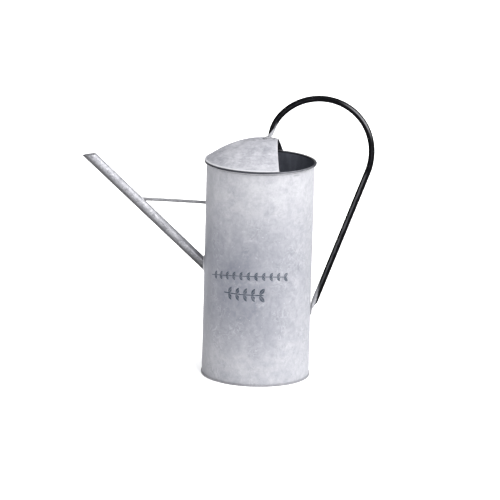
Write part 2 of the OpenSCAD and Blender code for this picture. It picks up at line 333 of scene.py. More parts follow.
def sprig(m, col):
    """A plain printed ornament in place of lettering: a long garland of paired leaves, and a larger, shorter one under it."""
    ang = m.math("ARCTAN2", m.x, m.mul(m.y, -1.0))          # 0 at the front, positive towards +X

    def leaves(u, v, half, pitch, lean, length, width, stem_w):
        """Pointed leaves in pairs along a stem on v = 0, and the stem itself."""
        k = m.math("ROUND", m.math("DIVIDE", u, pitch))
        k = m.mn(m.mx(k, -half), half)
        du = m.sub(u, m.mul(k, pitch))
        av = m.math("ABSOLUTE", v)
        # a runs along the leaf, b across it
        a = m.add(m.mul(du, cos(lean)), m.mul(av, sin(lean)))
        b = m.sub(m.mul(av, cos(lean)), m.mul(du, sin(lean)))
        t = m.math("DIVIDE", m.sub(a, length * 0.56), length * 0.5)
        w = m.mul(m.mx(m.sub(1.0, m.mul(t, t)), 0.0), width)
        ab = m.math("ABSOLUTE", b)
        leaf = m.rng(m.sub(w, ab), -0.05, 0.35)
        vein = m.rng(ab, 0.16, 0.42)
        leaf = m.mul(leaf, m.add(m.mul(vein, 0.55), 0.45))
        stem = m.mul(m.rng(av, stem_w + 0.2, stem_w - 0.15), m.rng(m.math("ABSOLUTE", u), (half + 0.62) * pitch, (half + 0.52) * pitch))
        return m.mx(leaf, stem)

    u1 = m.mul(m.sub(ang, rad(-8.6)), BODY_R)
    bow = m.add(m.mul(u1, 0.033), m.mul(m.math("POWER", m.math("DIVIDE", u1, 58.0), 2.0), -4.1))
    v1 = m.sub(m.sub(m.z, 152.6), bow)
    u2 = m.mul(m.sub(ang, rad(-11.0)), BODY_R)
    v2 = m.sub(m.z, 127.0)
    top = leaves(m.add(u1, 2.0), v1, 5, 10.3, rad(40), 8.6, 2.15, 0.55)
    low = leaves(m.add(u2, 3.0), v2, 2, 11.0, rad(52), 11.6, 3.0, 0.75)
    ink = m.mx(top, low)
    # printed by hand: thin and worn in places, only on the front
    worn = m.rng(m.add(m.noise(2.4, 4, 0.7), m.mul(m.noise(13, 2, 0.5), 0.55)), 0.66, 1.0, 1.0, 0.68)
    front = m.rng(m.y, -18, -26)
    return m.mix(m.mul(m.mul(ink, worn), front), col, (0.030, 0.040, 0.058))


def patches_of(m):
    return m.noise(21, 4, 0.6, 0.8, m.stretch(1, 1, 0.6, (15, 6, 2)))


def mat_body():
    m = whitewash("zinc_body", band=0.62)
    col = sprig(m, m.paint)
    # greyer in the last millimetres above the bottom fold, and along its lower edge
    foot = m.mul(m.mul(m.rng(m.z, 4.0, 2.9), m.rng(m.z, 2.2, 2.7)), 0.45)
    lip = m.mul(m.rng(m.z, 1.3, 0.5), 0.62)
    edge = m.mul(m.mx(foot, lip), m.rng(m.noise(9, 3, 0.6), 0.25, 0.6, 0.4, 1.0))
    col = m.mix(edge, col, (0.12, 0.125, 0.14))
    # greyer on the spout side of the can, at every height, broken into patches
    run = m.mul(m.rng(m.x, -52, -72), m.rng(patches_of(m), 0.2, 0.7, 0.65, 1.0))
    col = m.mix(m.mul(run, 0.40), col, (0.150, 0.154, 0.172))
    # a small smudge under the rim on the handle's side
    dx, dz = m.math("DIVIDE", m.sub(m.x, 50.0), 5.5), m.math("DIVIDE", m.sub(m.z, 289.0), 1.3)
    smudge = m.mul(m.rng(m.add(m.mul(dx, dx), m.mul(dz, dz)), 1.0, 0.2), m.rng(m.y, -20, -30))
    col = m.mix(m.mul(smudge, 0.35), col, (0.12, 0.125, 0.14))
    return m.set(color=col)


def mat_hood():
    m = whitewash("zinc_hood", top=(0.385, 0.385, 0.410), low=(0.135, 0.140, 0.166), amount=-0.03, banding=True)
    r = m.math("SQRT", m.add(m.mul(m.x, m.x), m.mul(m.y, m.y)))
    # paler round the flange; a painted highlight along the fold of the free edge, where the bend would catch the light;
    # bare dark metal on the flange's lower lip
    flange = m.mul(m.rng(r, HOOD_R - 1.2, HOOD_R - 0.2), m.rng(m.noise(11, 3, 0.6), 0.30, 0.52, 0.45, 1.0))
    # painted highlight: the band next to the free edge's fold is painted pale
    painted_fold_highlight = m.rng(m.add(m.x, m.mul(m.sub(m.z, HOOD_BASE), EDGE_TAN)), EDGE_X - 2.6, EDGE_X - 0.6)
    col = m.mix(m.mul(flange, 0.75), m.paint, (0.46, 0.46, 0.48))
    col = m.mix(m.mul(painted_fold_highlight, 0.45), col, (0.38, 0.38, 0.40))
    lip = m.mul(m.rng(m.z, HOOD_BASE - 0.45, HOOD_BASE - 0.95), m.rng(r, HOOD_R - 0.4, HOOD_R + 0.2))
    col = m.mix(m.mul(lip, 0.92), col, (0.050, 0.052, 0.062))
    # scuffs on the ridge beside the foot
    dx, dy = m.math("DIVIDE", m.sub(m.x, -10.0), 24.0), m.math("DIVIDE", m.sub(m.y, -6.0), 10.0)
    near = m.rng(m.add(m.add(m.mul(dx, dx), m.mul(dy, dy)), m.mul(m.sub(m.noise(11, 3, 0.6, 0.6), 0.5), 2.2)), 0.95, 0.0)
    scuff = m.mul(near, m.rng(m.noise(2.6, 4, 0.7, 0.8, m.stretch(0.45, 1.0, 1.0)), 0.44, 0.60))
    col = m.mix(m.mul(scuff, 0.60), col, (0.080, 0.083, 0.096))
    # painted shadow: a dark line round the solder pad at the foot, where its edge meets the hood
    ex, ey = m.math("DIVIDE", m.sub(m.x, 10.0), 7.6), m.math("DIVIDE", m.y, 7.6)
    rho = m.math("SQRT", m.add(m.mul(ex, ex), m.mul(ey, ey)))
    painted_pad_shadow = m.mul(m.rng(rho, 1.22, 1.04), m.rng(m.noise(3.0, 3, 0.6), 0.30, 0.50, 0.55, 1.0))
    col = m.mix(m.mul(painted_pad_shadow, 0.75), col, (0.075, 0.078, 0.090))
    return m.set(color=col)


def mat_pewter():
    """Bare darkened zinc on the upper half of the rolled rim; its lower half is painted pale, a painted reflection of
    the bright floor that also hides the shade under the bead.
    """
    m = Mat("pewter")
    n1 = m.noise(9, 4, 0.6, 0.5)
    n2 = m.noise(1.4, 4, 0.7)
    f = m.rng(m.add(m.mul(n1, 0.7), m.mul(n2, 0.5)), 0.40, 0.82)
    col = m.mix(f, (0.022, 0.023, 0.029), (0.050, 0.051, 0.061))
    # lighter on the front of the mouth, towards the handle's side, and a painted highlight as a bright inner line
    ang = m.math("ARCTAN2", m.x, m.mul(m.y, -1.0))
    paler_mask = m.mul(m.rng(ang, rad(10), rad(30)), m.rng(ang, rad(78), rad(62)))
    col = m.mix(m.mul(paler_mask, m.rng(n1, 0.30, 0.60, 0.55, 1.0)), col, (0.125, 0.127, 0.142))
    # painted highlight: a bright line round the inside top of the bead, strongest towards the handle
    r = m.math("SQRT", m.add(m.mul(m.x, m.x), m.mul(m.y, m.y)))
    inner = m.mul(m.rng(r, CURL_X - 0.5, CURL_X - 1.0), m.rng(m.z, CURL_Z + 0.6, CURL_Z + 1.1))
    inner = m.mul(inner, m.mx(m.rng(ang, rad(40), rad(58)), 0.25))
    col = m.mix(m.mul(inner, 0.6), col, (0.30, 0.30, 0.32))
    # painted reflection: the bead's lower half is painted pale, as the floor below would light it, and lighter than the
    # wall to hide the shade under it
    under = m.rng(m.add(m.z, m.mul(m.sub(n2, 0.5), 0.25)), CURL_Z - 0.45, CURL_Z - 0.95)
    under = m.mul(under, m.rng(r, CURL_X - 0.3, CURL_X + 0.2))
    col = m.mix(under, col, m.mix(n1, (0.42, 0.42, 0.44), (0.50, 0.50, 0.525)))
    return m.set(color=col, rough=m.mixf(n2, 0.40, 0.62), metal=m.mul(m.inv(under), 0.35), normal=m.bump(n2, 0.08, 0.5), spec=0.25)


def mat_inside():
    """The inside of the can, of unpainted zinc, made far darker than bare zinc as painted shade of the interior; the
    seam, the hood's underside and the spout's bore take it too.
    """
    m = Mat("zinc_inside")
    n1 = m.noise(34, 4, 0.55, 0.6, m.stretch(1, 1, 0.5))
    n2 = m.noise(3.0, 4, 0.7)
    drip = m.noise(5, 3, 0.6, 0.3, m.stretch(1.2, 1.2, 0.08))
    f = m.rng(m.add(m.mul(n1, 0.6), m.add(m.mul(n2, 0.25), m.mul(drip, 0.25))), 0.35, 0.78)
    # partly painted shade: these colours are darker than bare zinc, as the inside looks in its own shade
    col = m.mix(f, (0.085, 0.092, 0.118), (0.165, 0.176, 0.215))
    return m.set(color=col, rough=m.mixf(n2, 0.55, 0.80), metal=0.10, normal=m.bump(n2, 0.12, 0.5), spec=0.2)


def mat_spout():
    """Drawn zinc tube with rubbed patches; painted shade darkens its underside, its lower edge and its root by the can,
    and painted highlights fleck its upper half.
    """
    m = Mat("zinc_spout")
    # n: how far a point faces up and outwards, from the tube's own axis; +1 is the upper line, -1 the lower
    ax = m.add(m.mul(m.add(m.x, BODY_R), sin(SP_A)), m.mul(m.sub(m.z, SP_Z), cos(SP_A)))
    n = m.math("DIVIDE", ax, SPOUT_MID_R)
    along = m.sub(m.mul(m.sub(m.z, SP_Z), sin(SP_A)), m.mul(m.add(m.x, BODY_R), cos(SP_A)))
    cmb = m.n.new("ShaderNodeCombineXYZ")
    m.put(cmb.inputs[0], m.mul(along, 0.22))
    m.put(cmb.inputs[1], m.y)
    m.put(cmb.inputs[2], ax)
    streak = m.noise(3.4, 5, 0.68, 0.5, cmb.outputs[0])
    patch = m.noise(12, 4, 0.62, 0.8)
    speck = m.noise(1.2, 4, 0.75)
    f = m.add(m.mul(m.sub(streak, 0.5), 1.5), m.add(m.mul(m.sub(patch, 0.5), 1.3), m.mul(m.sub(speck, 0.5), 0.9)))
    f = m.rng(m.add(f, 0.42), 0.0, 1.0, smooth=False)
    col = m.mix(f, (0.435, 0.435, 0.460), (0.165, 0.165, 0.185))
    # painted shade that deepens round towards the underside, and towards the can
    wob = m.add(m.mul(m.sub(streak, 0.5), 0.70), m.add(m.mul(m.sub(patch, 0.5), 0.55), m.mul(m.sub(speck, 0.5), 0.30)))
    shade = m.rng(m.add(n, wob), 0.16, -0.58, 1.0, 0.13, smooth=False)
    near = m.rng(along, 50, 8, 1.0, 0.55)
    shade = m.mul(shade, m.mx(near, m.rng(n, 0.05, 0.35)))
    col = m.tint(col, shade)
    blot = m.mul(m.rng(m.noise(5.2, 5, 0.72, 0.8, m.stretch(1, 1, 1, (5, 2, 8))), 0.50, 0.62), m.rng(n, 0.75, 0.2, 0.45, 1.0))
    col = m.mix(m.mul(blot, 0.62), col, (0.095, 0.095, 0.108))
    # painted highlight: pale flecks over the upper half of the tube
    painted_glint = m.mul(m.rng(m.noise(4.6, 5, 0.72, 0.8, m.stretch(1, 1, 1, (9, 12, 3))), 0.54, 0.64), m.rng(n, -0.45, 0.15))
    col = m.mix(m.mul(painted_glint, 0.5), col, (0.60, 0.60, 0.62))
    # painted shade: a dark line along the lower edge of the tube
    painted_edge_shade = m.rng(m.add(n, m.mul(m.sub(patch, 0.5), 0.12)), -0.78, -0.94)
    col = m.mix(m.mul(painted_edge_shade, 0.75), col, (0.030, 0.030, 0.036))
    # painted shade near the can, across the tube's upper side, where the wall beside it shades the root
    root = m.mul(m.rng(along, 62, 10), m.rng(m.math("ABSOLUTE", m.sub(n, 0.72)), 0.34, 0.10))
    col = m.mix(m.mul(root, 0.6), col, (0.085, 0.085, 0.098))
    return m.set(color=col, rough=m.mixf(f, 0.36, 0.54), metal=m.mul(shade, 0.42),
                 normal=m.bump(m.add(m.mul(streak, 0.7), m.mul(speck, 0.5)), 0.20, 0.6), spec=0.22)


def mat_tip():
    """The bright inside of the spout's mouth, with painted shade darkening it further into the bore."""
    m = Mat("zinc_tip")
    n1 = m.noise(3.0, 4, 0.65, 0.5)
    painted_bore_shade = m.rng(m.add(m.sub(m.x, TIP_X), m.mul(m.sub(n1, 0.5), 3.0)), 8.5, 12.0)
    col = m.mix(painted_bore_shade, m.mix(n1, (0.88, 0.88, 0.90), (0.72, 0.72, 0.74)), (0.050, 0.050, 0.056))
    return m.set(color=col, rough=m.mixf(n1, 0.40, 0.60), metal=0.2, normal=m.bump(n1, 0.1, 0.5), spec=0.3)


def mat_enamel():
    """Black enamel on a tube, with painted highlights and reflections as pale, rougher streaks on the hoop and down the
    leg's side, worn to bare metal at both feet.
    """
    m = Mat("black_enamel")
    fine = m.noise(0.9, 3, 0.6)
    soft = m.noise(9, 3, 0.55)
    mott = m.noise(2.6, 4, 0.7, 0.5)
    cx, cz = m.sub(m.x, HOOP_X), m.sub(m.z, HOOP_Z)
    rho = m.sub(m.math("SQRT", m.add(m.mul(cx, cx), m.mul(cz, cz))), HOOP_R)
    ang = m.math("ARCTAN2", cz, cx)
    on_hoop = m.rng(ang, -LEAN - 0.02, -LEAN + 0.06)
    # distance of a point outside the leg's centre line
    q = m.add(m.mul(m.sub(m.x, LEG_X), cos(LEAN)), m.mul(m.sub(m.z, LEG_Z), -sin(LEAN)))
    on_leg = m.mul(m.rng(m.z, LEG_Z + 2, LEG_Z - 8), m.rng(m.x, 60, 66))
    # lower foot: bare metal spreads from the inner side as the tube comes down to the wall
    lim = m.rng(m.z, 137, 101, -4.4, 1.7)
    wear = m.add(m.mul(m.sub(mott, 0.5), 2.6), m.mul(m.sub(fine, 0.5), 1.0))
    low = m.rng(m.add(m.sub(lim, q), wear), -1.3, 1.5)
    low = m.mul(m.mul(low, m.rng(m.z, 140, 132)), m.rng(m.x, 60, 66))
    low = m.mx(low, m.mul(m.rng(m.z, 95.5, 92.5), 0.85))
    # upper foot: the same, from the side of the mouth
    q2 = m.sub(m.x, m.add(12.2, m.mul(m.sub(m.z, 334.0), 0.34)))
    top_z = m.add(337.2, m.mul(q2, 2.1))
    high = m.rng(m.sub(m.add(top_z, m.mul(m.sub(mott, 0.5), 4.5)), m.z), -0.5, 1.2)
    high = m.mx(high, m.mul(m.rng(m.z, 352, 342), m.mul(m.rng(m.add(q2, m.mul(m.sub(mott, 0.5), 1.8)), 0.9, 2.6), 0.45)))
    high = m.mul(high, m.rng(m.x, 32, 27))
    high = m.mx(high, m.rng(m.z, 330.0, 329.2))
    high = m.mul(high, m.rng(m.x, 32, 27))
    bare = m.mx(low, high)
    # small chips along the tube
    chip = m.rng(m.voronoi(11.0, co=m.stretch(1, 1, 1, (2, 3, 4))), 0.060, 0.035)
    chip = m.mul(chip, m.rng(soft, 0.56, 0.62))
    bare = m.mx(bare, m.mul(chip, 0.35))
    # painted highlights and reflections: a pale streak on the hoop's upper right, faint lines along the hoop, and a
    # grey line down the leg's side towards the can
    front = m.rng(m.y, 1.0, -1.0)
    band = m.rng(m.math("ABSOLUTE", m.sub(rho, 1.70)), 1.60, 0.30)
    arc = m.mul(m.rng(ang, rad(72), rad(47)), m.rng(ang, rad(9), rad(31)))
    streak = m.mul(m.mul(band, arc), m.mul(front, m.rng(mott, 0.25, 0.55, 0.55, 1.0)))
    band2 = m.rng(m.math("ABSOLUTE", m.sub(rho, 0.3)), 1.2, 0.2)
    arc2 = m.mul(m.rng(ang, rad(170), rad(150)), m.rng(ang, rad(86), rad(100)))
    faint = m.mul(m.mul(band2, m.mx(arc2, m.mul(m.rng(ang, rad(20), rad(4)), on_hoop))), m.mul(front, m.rng(mott, 0.35, 0.65)))
    side = m.rng(m.math("ABSOLUTE", m.add(m.add(q, 1.15), m.mul(m.sub(m.noise(12, 3, 0.6, 0.5), 0.5), 2.4))), 1.75, 0.45)
    painted_leg_reflection = m.mul(m.mul(side, on_leg), m.rng(m.noise(7, 3, 0.6, 0, m.stretch(1, 1, 0.3)), 0.30, 0.62, 0.35, 1.0))
    black = m.mix(soft, (0.0022, 0.0022, 0.0028), (0.0046, 0.0046, 0.0056))
    col = m.mix(m.mul(streak, 0.85), black, (0.185, 0.185, 0.195))
    col = m.mix(m.mul(faint, 0.6), col, (0.030, 0.030, 0.033))
    col = m.mix(m.mul(painted_leg_reflection, 0.8), col, (0.075, 0.075, 0.081))
    steel = m.mix(m.noise(2.2, 5, 0.7, 0.5), (0.24, 0.24, 0.26), (0.48, 0.48, 0.50))
    col = m.mix(bare, col, steel)
    # the painted highlight streaks are also rougher
    paler_mask = m.mx(streak, m.mx(painted_leg_reflection, faint))
    rough = m.mixf(bare, m.mixf(paler_mask, m.mixf(soft, 0.16, 0.26), 0.45), m.mixf(fine, 0.40, 0.6))
    return m.set(color=col, rough=rough, metal=m.mul(bare, 0.45), spec=0.012,
                 normal=m.bump(m.add(m.mul(fine, 0.35), m.add(soft, m.mul(bare, -1.2))), 0.14, 0.45))


def mat_metal(name, a, b, metal=0.7, rough=(0.35, 0.6), size=5, bump=0.1):
    m = Mat(name)
    n1 = m.noise(size, 4, 0.62, 0.6)
    n2 = m.noise(0.9, 4, 0.72)
    f = m.rng(m.add(m.mul(n1, 0.75), m.mul(n2, 0.45)), 0.38, 0.85)
    return m.set(color=m.mix(f, a, b), rough=m.mixf(n2, *rough), metal=metal, spec=0.5,
                 normal=m.bump(m.add(m.mul(n1, 0.5), m.mul(n2, 0.6)), bump, 0.6))


LEG_X, LEG_Z = EASE_X + EASE_R * cos(LEAN), EASE_Z - EASE_R * sin(LEAN)
M_BODY, M_HOOD, M_RIM, M_IN = mat_body(), mat_hood(), mat_pewter(), mat_inside()
M_SPOUT, M_TIP, M_BLACK = mat_spout(), mat_tip(), mat_enamel()
M_SOLDER = mat_metal("solder", (0.23, 0.23, 0.25), (0.46, 0.46, 0.485), 0.35, (0.42, 0.62), 4, 0.12)
M_BRACE = mat_metal("brace_steel", (0.115, 0.115, 0.123), (0.215, 0.215, 0.228), 0.1, (0.56, 0.72), 7, 0.08)
M_WIRE = mat_metal("steel_wire", (0.12, 0.12, 0.13), (0.25, 0.25, 0.27), 0.6, (0.30, 0.5), 6, 0.05)
M_BASE = mat_metal("zinc_base", (0.16, 0.162, 0.178), (0.30, 0.30, 0.32), 0.25, (0.45, 0.65), 18, 0.12)


# ------------------------------------------------------------------ body
def wall_wave(r, z, t):
    """The rolled sheet isn't perfectly round: slow waves of a few tenths of a millimetre, none at the ends."""
    if z < 6 or z > CURL_Z - 8 or r > BODY_R + 0.2:
        return 0.0
    fade = min(1, (z - 6) / 30) * min(1, (CURL_Z - 8 - z) / 30)
    c, s = cos(t), sin(t)
    keep = 1 - max(0, min(1, 1.6 - math.hypot(t - pi, (z - SP_Z) / BODY_R) / 0.20))
    keep2 = 1 - max(0, min(1, 1.6 - math.hypot(min(t, 2 * pi - t), (z - 92) / BODY_R) / 0.20))
    x, y = 90 * c, 90 * s
    return fade * min(keep, keep2) * (0.28 * nz(x, y, z * 0.6, 1 / 60.0, 3.1) + 0.10 * nz(x, y, z, 1 / 22.0, 7.7))


def arc_pts(cx, cz, r, a0, a1, n):
    return [(cx + r * cos(rad(a0 + (a1 - a0) * k / n)), cz + r * sin(rad(a0 + (a1 - a0) * k / n))) for k in range(n + 1)]


def build_body():
    z_up = [1.2, 2.2, 3.2, 4.4, 6.0]
    z = 9.0
    while z < CURL_Z - 4:
        z_up.append(z)
        z += 3.6
    z_up += [CURL_Z - 2.6, CURL_Z - 1.0]
    prof, kind = [], []

    def put(p, k):
        prof.append(p)
        kind.append(k)
    for zz in z_up:
        put((IN_R, zz), "in")
    for p in arc_pts(CURL_X, CURL_Z, CURL_R, 180, -118, 30):
        put(p, "rim")
    for p in arc_pts(CURL_X, CURL_Z, CURL_R - WALL_T, -118, 180, 24):
        put(p, "rim")
    for zz in reversed(z_up[3:-1]):
        put((BODY_R, zz), "out")
    put((BODY_R + 0.03, SEAM_H - 0.1), "out")
    put((BODY_R + 0.25, SEAM_H - 0.02), "out")
    put((BODY_R + 0.46, SEAM_H - 0.2), "out")
    put((BODY_R + 0.48, 1.3), "out")
    put((BODY_R + 0.3, 0.85), "out")
    put((BODY_R - 0.1, 0.62), "out")
    put((IN_R + 0.08, 0.8), "in")
    code = {"out": 0, "in": 1, "rim": 2}
    n = 288

    def mat(i, j):
        a, b = kind[i], kind[(i + 1) % len(kind)]
        return code[a if a == b else ("rim" if "rim" in (a, b) else "in")]
    v, f, m = lathe(prof, n, True, wall_wave, mat)
    o = make("can_body", v, f, [M_BODY, M_IN, M_RIM], m, sharp=50)
    # the hole into the spout
    cut_v, cut_f, _ = tube_rows(SPOUT_MID_R + 0.05, -16, 10, 64)
    c = make("cut", cut_v, cut_f, [M_IN], None, sharp=0)
    md = o.modifiers.new("hole", "BOOLEAN")
    md.operation, md.solver, md.object = "DIFFERENCE", "EXACT", c
    apply_modifiers(o)
    bpy.data.objects.remove(c)
    finish_mesh(o.data, 50)
    return piece(o, "zinc_body", "body_shell")


# spout's axis
SD = Vector((-cos(SP_A), 0, sin(SP_A)))
S0 = Vector((-BODY_R, 0, SP_Z))
SU = Vector((sin(SP_A), 0, cos(SP_A)))      # towards the spout's upper line
SV = Vector((0, -1, 0))                     # towards the viewer's side


def tube_rows(r, s0, s1, n):
    """A closed plug along the spout's axis."""
    rows = []
    for s in (s0, s1):
        rows.append([tuple(S0 + SD * s + (SU * cos(2 * pi * k / n) + SV * sin(2 * pi * k / n)) * r) for k in range(n)])
    v, f, m = grid(rows, close_v=True)
    f.append(tuple(range(n))[::-1])
    f.append(tuple(range(n, 2 * n)))
    return v, f, m


def solve(fn, a, b):
    """Root of a rising or falling function by bisection."""
    fa = fn(a)
    for _ in range(50):
        c = (a + b) / 2
        fc = fn(c)
        if (fc > 0) == (fa > 0):
            a, fa = c, fc
        else:
            b = c
    return (a + b) / 2


def wall_hit(org, d, off, rw):
    """How far along d from org + off the wall of radius rw is met, going outwards."""
    p = org + off
    a = d.x * d.x + d.y * d.y
    b = 2 * (p.x * d.x + p.y * d.y)
    c = p.x * p.x + p.y * p.y - rw * rw
    return (-b + sqrt(b * b - 4 * a * c)) / (2 * a)


def build_seam():
    """Lock seam down the inside, on the handle's side: a flat fold that stands off the wall."""
    rows = []
    z0, z1 = 5.2, CURL_Z - CURL_R - 2.2
    n = 60
    prof = [(-3.0, 0.0), (-2.9, 0.55), (-2.6, 0.95), (-1.0, 1.0), (1.0, 1.0), (2.6, 0.95), (2.9, 0.55), (3.0, 0.0)]
    for k in range(n + 1):
        z = z0 + (z1 - z0) * k / n
        e = 0.35 if k in (0, n) else 1.0
        row = []
        for y, h in prof:
            h2 = h * e * (1 + 0.06 * nz(y, 0, z, 1 / 9.0, 2))
            t = y / IN_R
            rr = IN_R + 0.05 - h2 + wall_wave(IN_R, z, t % (2 * pi))
            row.append((rr * cos(t), rr * sin(t), z))
        rows.append(row)
    v, f, m = grid(rows)
    nv = len(prof)
    # back and end faces close the strip
    for k in range(n):
        f.append((k * nv, (k + 1) * nv, (k + 1) * nv + nv - 1, k * nv + nv - 1))
    f.append(tuple(range(nv)))
    f.append(tuple(range(n * nv, n * nv + nv))[::-1])
    o = make("lock_seam", v, f, [M_IN], None, sharp=35)
    return piece(o, "zinc_body")


def build_base():
    a, b = IN_R - WALL_T, BASE_R
    prof = [(0, 4.5), (20, 4.5), (45, 4.5), (60, 4.5), (68, 4.48), (71.2, 4.45), (IN_R - 0.06, 4.5), (IN_R - 0.02, 4.2),
            (IN_R - 0.02, 2.0), (IN_R - 0.02, 0.9), (IN_R + 0.2, 0.55), (BODY_R, 0.5), (BODY_R + 0.4, 0.6), (BODY_R + 0.5, 0.9),
            (BODY_R + 0.5, SEAM_H - 0.15), (b - 0.25, SEAM_H), (b - 0.05, SEAM_H - 0.12), (b, SEAM_H - 0.5),
            (b, 1.6), (b, 0.7), (b - 0.15, 0.25), (b - 0.5, 0.03), (BODY_R - 0.2, 0.0), (a + 0.45, 0.0), (a + 0.12, 0.15), (a, 0.5),
            (a, 2.4), (a - 0.15, 3.5), (a - 0.6, 4.0), (68, 4.0), (60, 4.0), (45, 4.0), (20, 4.0), (0, 4.0)]
    rows_mat = lambda i, j: 1 if i < 9 else 0

    def press(r, z, t):
        return 0.0
    v, f, m = lathe(prof, 256, False, press, rows_mat)
    # a shallow ring pressed into the floor
    v = [(x, y, z - (0.35 * math.exp(-((math.hypot(x, y) - 45) / 6) ** 2) if math.hypot(x, y) < 66 and z > 3.9 else 0)) for x, y, z in v]
    o = make("bottom_pan", v, f, [M_BASE, M_IN], m, sharp=50)
    return piece(o, "zinc_base", "base_pan")


# ------------------------------------------------------------------ hood
def dome(r):
    return HOOD_BASE + HOOD_RISE * (1 - (max(r, 0) / HOOD_R) ** HOOD_P)


def dome_slope(r):
    return -HOOD_RISE * HOOD_P / HOOD_R * (max(r, 1e-6) / HOOD_R) ** (HOOD_P - 1)


def press_dent(x, y):
    """The hood is a little flattened and creased where the handle's foot was soldered on."""
    d = math.hypot((x - 10.0) / 13.0, y / 12.0)
    ring = 0.30 * math.exp(-((d - 1.05) / 0.22) ** 2)
    # and pulled up level towards the free edge by the handle
    t = max(0.0, min(1.0, (x - 0.0) / 22.0))
    lift = 2.3 * t * t * (3 - 2 * t) * max(0.0, 1 - (y / 42.0) ** 2) ** 2
    return lift + ring - 0.28 * math.exp(-((d - 0.72) / 0.20) ** 2) + 0.22 * nz(x, y, 0, 1 / 26.0, 5.5)


def build_hood():
    top, low = [], []
    T = WALL_T
    ncol = 150
    # slices parallel to the free edge: c = x + tan * (z - base), from the spout's side to the fold
    cs = [-HOOD_R + 1e-3]
    k = 0
    span = EDGE_X + HOOD_R
    nrow = 110
    for k in range(1, nrow + 1):
        u = k / nrow
        cs.append(-HOOD_R + span * (1 - (1 - u) ** 1.0) * (u ** 0.35 if u < 1 else 1))
    cs[-1] = EDGE_X

    def x_at(c, y):
        """x on the dome where x + tan * height is c, at this y."""
        def fn(x):
            r = math.hypot(x, y)
            return x + EDGE_TAN * HOOD_RISE * (1 - (r / HOOD_R) ** HOOD_P) - c
        return solve(fn, -HOOD_R * 1.2, HOOD_R * 1.2)

    def surf(c, y, d, end=None):
        """A point of the sheet at depth d under the outer surface."""
        x = x_at(c, y)
        r = math.hypot(x, y)
        s = dome_slope(r)
        k = sqrt(1 + s * s)
        nx, ny, nz_ = (-s * x / max(r, 1e-6) / k, -s * y / max(r, 1e-6) / k, 1 / k)
        h = press_dent(x, y) * max(0, min(1, (HOOD_R - r) / 12.0))
        return Vector((x, y, dome(r) + h)) - Vector((nx, ny, nz_)) * d

    def flange(theta):
        """Points of the flange that turns down onto the rim, outer side first."""
        out = [(HOOD_R + 0.55, HOOD_BASE - 0.10), (HOOD_R + 1.10, HOOD_BASE - 0.28), (HOOD_R + 1.42, HOOD_BASE - 0.60),
               (HOOD_R + 1.50, HOOD_BASE - 1.00), (HOOD_R + 1.38, BODY_H + 0.04), (HOOD_R + 0.9, BODY_H + 0.0)]
        c, s = cos(theta), sin(theta)
        return [Vector((r * c, r * s, z)) for r, z in out]

    rows = []
    # outer skin rows, then round the fold, then the hem's underside
    plan = [(c, 0.0) for c in cs]
    plan += [(EDGE_X + 0.50 * sin(rad(a)), 0.5 - 0.5 * cos(rad(a))) for a in (30, 60, 90, 120, 150, 180)]
    plan += [(EDGE_X - w, 1.0 + 0.02 * w) for w in (0.5, 1.2, 2.2, 3.2)]
    plan += [(EDGE_X - 3.5, 0.98), (EDGE_X - 3.55, 0.55)]
    plan += [(c, 0.5) for c in reversed(cs) if c < EDGE_X - 4.2]
    for i, (c, d) in enumerate(plan):
        cc = c
        if cc <= -HOOD_R + 0.01:
            ym = 0.0
        else:
            rr = HOOD_R
            # where this slice meets the rim: x = c there
            xe = max(-HOOD_R, min(HOOD_R, cc))
            ym = sqrt(max(0.0, rr * rr - xe * xe))
        row = []
        for j in range(ncol + 1):
            t = -1 + 2 * j / ncol
            y = ym * sin(t * pi / 2)
            if ym == 0.0:
                p = Vector((-HOOD_R, 0, HOOD_BASE - d))
            else:
                p = surf(cc, y, d)
            row.append(p)
        th1 = math.atan2(row[-1].y, row[-1].x) if ym else pi
        th0 = math.atan2(row[0].y, row[0].x) if ym else -pi
        inner = d > 0.3
        f1, f0 = flange(th1), flange(th0)
        if inner:
            # the hem's and the underside's ends tuck in under the flange
            f1 = [row[-1].lerp(Vector((p.x, p.y, BODY_H)), 0.0) for p in f1]
            f0 = [row[0].lerp(Vector((p.x, p.y, BODY_H)), 0.0) for p in f0]
            e1, e0 = row[-1].copy(), row[0].copy()
            tgt1 = Vector(((HOOD_R + 0.7) * cos(th1), (HOOD_R + 0.7) * sin(th1), BODY_H + 0.02))
            tgt0 = Vector(((HOOD_R + 0.7) * cos(th0), (HOOD_R + 0.7) * sin(th0), BODY_H + 0.02))
            inn1 = Vector(((HOOD_R - 0.6) * cos(th1), (HOOD_R - 0.6) * sin(th1), BODY_H + 0.02))
            inn0 = Vector(((HOOD_R - 0.6) * cos(th0), (HOOD_R - 0.6) * sin(th0), BODY_H + 0.02))
            f1 = [e1.lerp(inn1, 0.5), inn1, inn1.lerp(tgt1, 0.35), inn1.lerp(tgt1, 0.7), inn1.lerp(tgt1, 0.9), tgt1]
            f0 = [e0.lerp(inn0, 0.5), inn0, inn0.lerp(tgt0, 0.35), inn0.lerp(tgt0, 0.7), inn0.lerp(tgt0, 0.9), tgt0]
        rows.append([tuple(p) for p in reversed(f0)] + [tuple(p) for p in row] + [tuple(p) for p in f1])
    nu = len(rows)
    first_in = len(cs) + 6

    def mat(i, j):
        return 1 if i >= first_in + 6 else 0
    v, f, m = grid(rows, mat=mat)
    nv = len(rows[0])
    # join the outer skin's flange to the underside along both long ends
    n_in = sum(1 for c in cs if c < EDGE_X - 4.2)
    for k in range(n_in - 1):
        a0, a1 = k, k + 1
        b0, b1 = nu - 1 - k, nu - 2 - k
        f.append((a0 * nv, a1 * nv, b1 * nv, b0 * nv)); m.append(1)
        f.append((a0 * nv + nv - 1, b0 * nv + nv - 1, b1 * nv + nv - 1, a1 * nv + nv - 1)); m.append(1)
